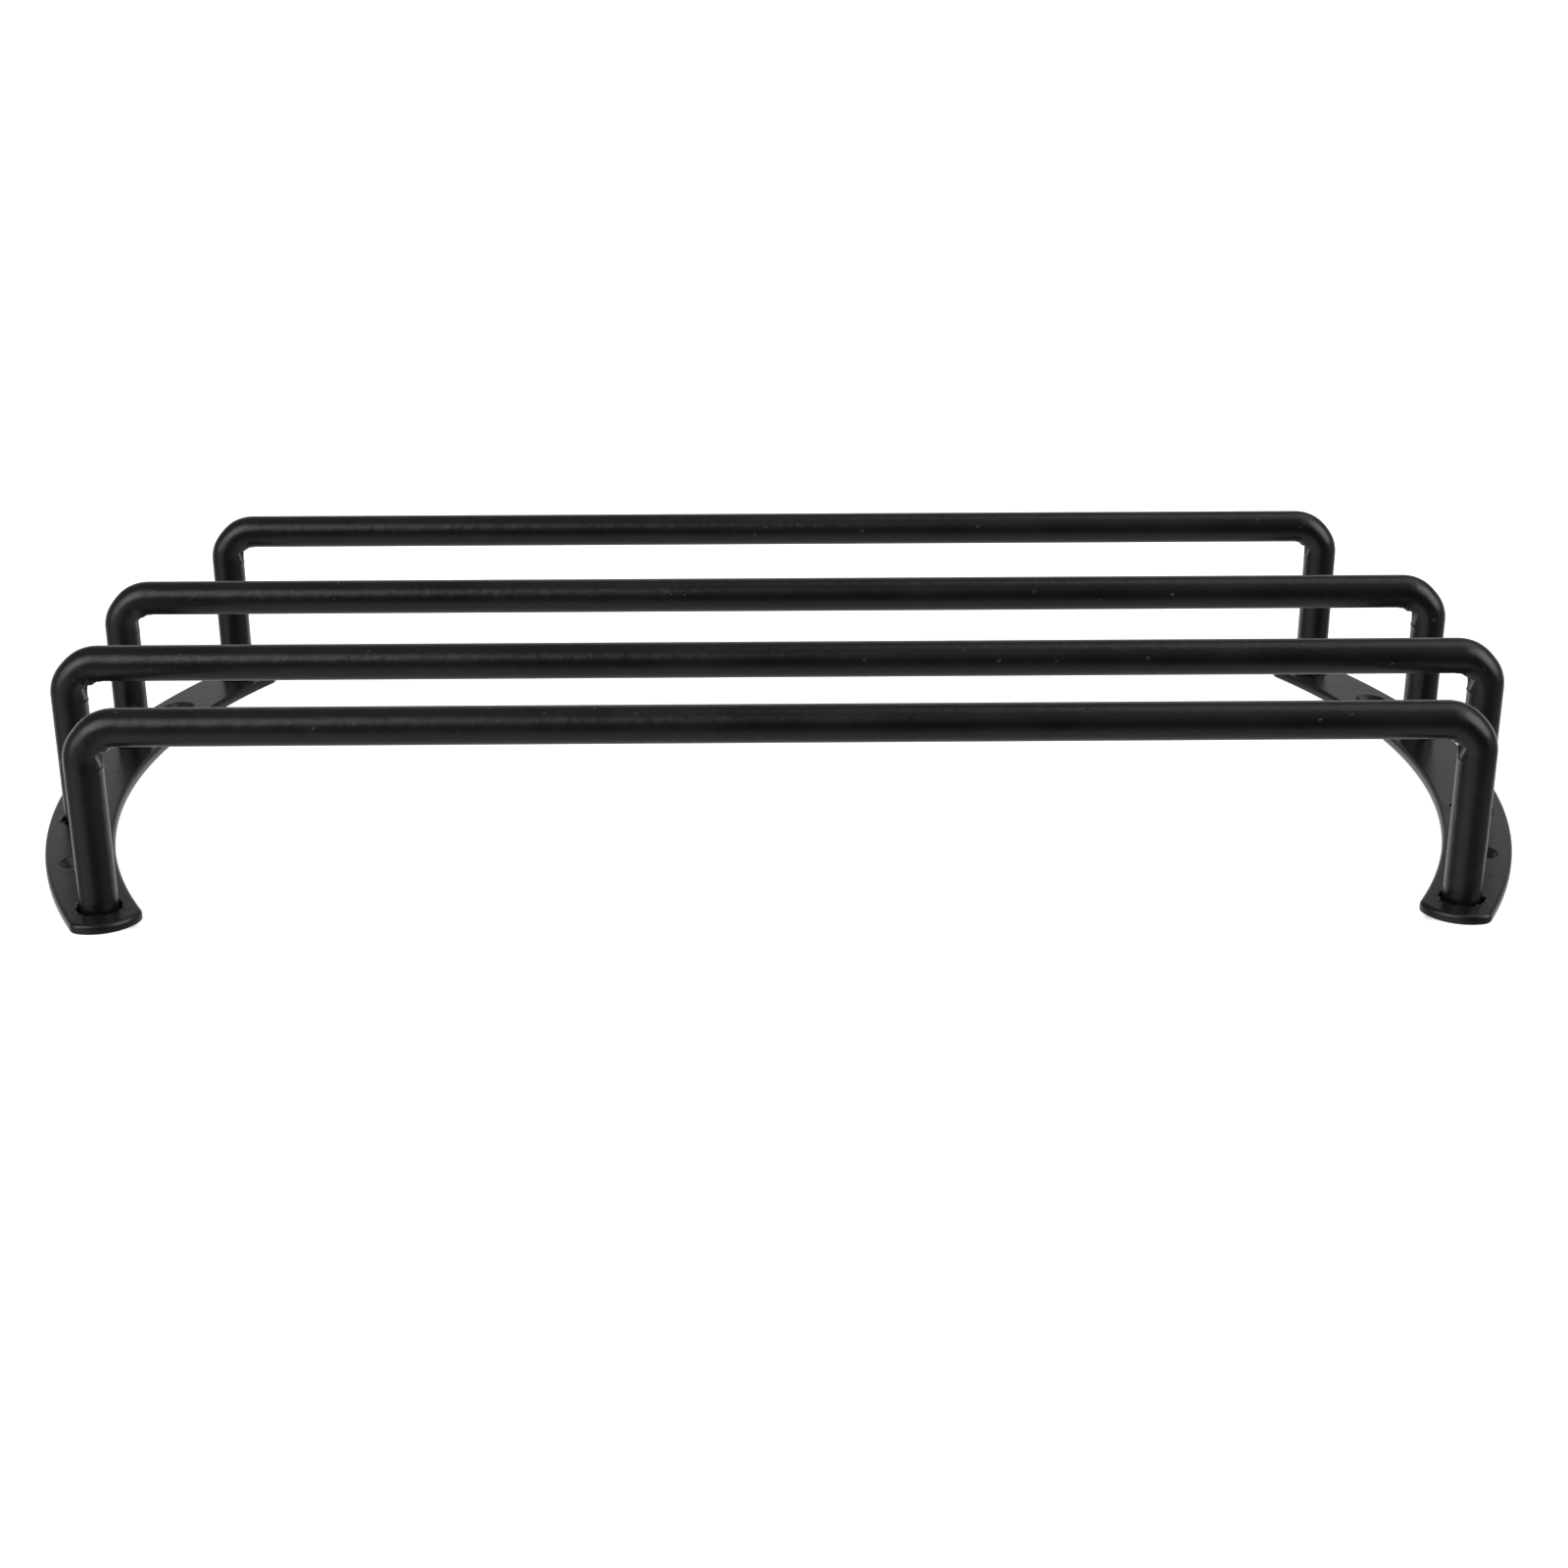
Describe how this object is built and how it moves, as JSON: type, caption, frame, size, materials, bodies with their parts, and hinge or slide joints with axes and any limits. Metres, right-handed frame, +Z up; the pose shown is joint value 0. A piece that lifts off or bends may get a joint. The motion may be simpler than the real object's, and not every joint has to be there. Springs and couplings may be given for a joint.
{
  "type": "fixed bar rack",
  "caption": "Low rack of parallel round steel bars, each bent down at both ends into legs welded into curved flat mounting plates with countersunk screw holes.",
  "frame": {"origin": "middle of the rack, on the surface that the undersides of the two plates lie on", "axes": "+X to the right along the bars, +Y from the front bar towards the rear bar, +Z up from the plates to the bars"},
  "size_m": [0.336, 0.1662, 0.046],
  "materials": {
    "rod_coat": "satin black powder coat on bent round steel rod",
    "plate_coat": "satin black powder coat on flat steel plate",
    "weld_coat": "black powder coat over a ground plug weld"
  },
  "bodies": {
    "root": {"left_plate": "plate_coat", "right_plate": "plate_coat", "front_bar": "rod_coat", "front_middle_bar": "rod_coat", "rear_middle_bar": "rod_coat", "rear_bar": "rod_coat", "front_bar_left_weld": "weld_coat", "front_bar_right_weld": "weld_coat", "front_middle_bar_left_weld": "weld_coat", "front_middle_bar_right_weld": "weld_coat", "rear_middle_bar_left_weld": "weld_coat", "rear_middle_bar_right_weld": "weld_coat", "rear_bar_left_weld": "weld_coat", "rear_bar_right_weld": "weld_coat"}
  },
  "joints": []
}
